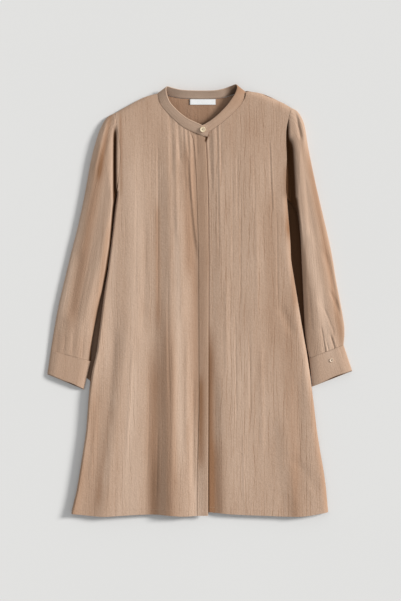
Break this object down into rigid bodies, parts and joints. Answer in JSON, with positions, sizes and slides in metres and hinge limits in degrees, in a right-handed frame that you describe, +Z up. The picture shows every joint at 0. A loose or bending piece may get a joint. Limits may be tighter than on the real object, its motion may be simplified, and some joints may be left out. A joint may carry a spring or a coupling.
{
  "type": "tunic top laid flat",
  "caption": "Long-sleeved tunic with a stand band, a covered button front and buttoned cuffs, laid flat on its back.",
  "frame": {"origin": "middle of the garment's outline, on the surface that it lies on", "axes": "+X to the wearer's left, +Y from the hem to the neck, +Z up from the surface, out of the fronts"},
  "size_m": [0.676, 0.9571, 0.0192],
  "materials": {
    "cloth": "soft crinkled woven cloth with a dry, faint sheen",
    "neck_button": "satin, cream",
    "cuff_button": "satin, the colour of the cloth",
    "label": "smooth woven ribbon, bare"
  },
  "bodies": {
    "root": {"back": "cloth", "front_right": "cloth", "front_left": "cloth", "placket": "cloth", "collar_band": "cloth", "sleeve_right_top": "cloth", "sleeve_right_under": "cloth", "sleeve_left_top": "cloth", "sleeve_left_under": "cloth", "cuff_right": "cloth", "cuff_left": "cloth", "button_collar": "neck_button", "button_cuff": "cuff_button", "label": "label"}
  },
  "joints": []
}
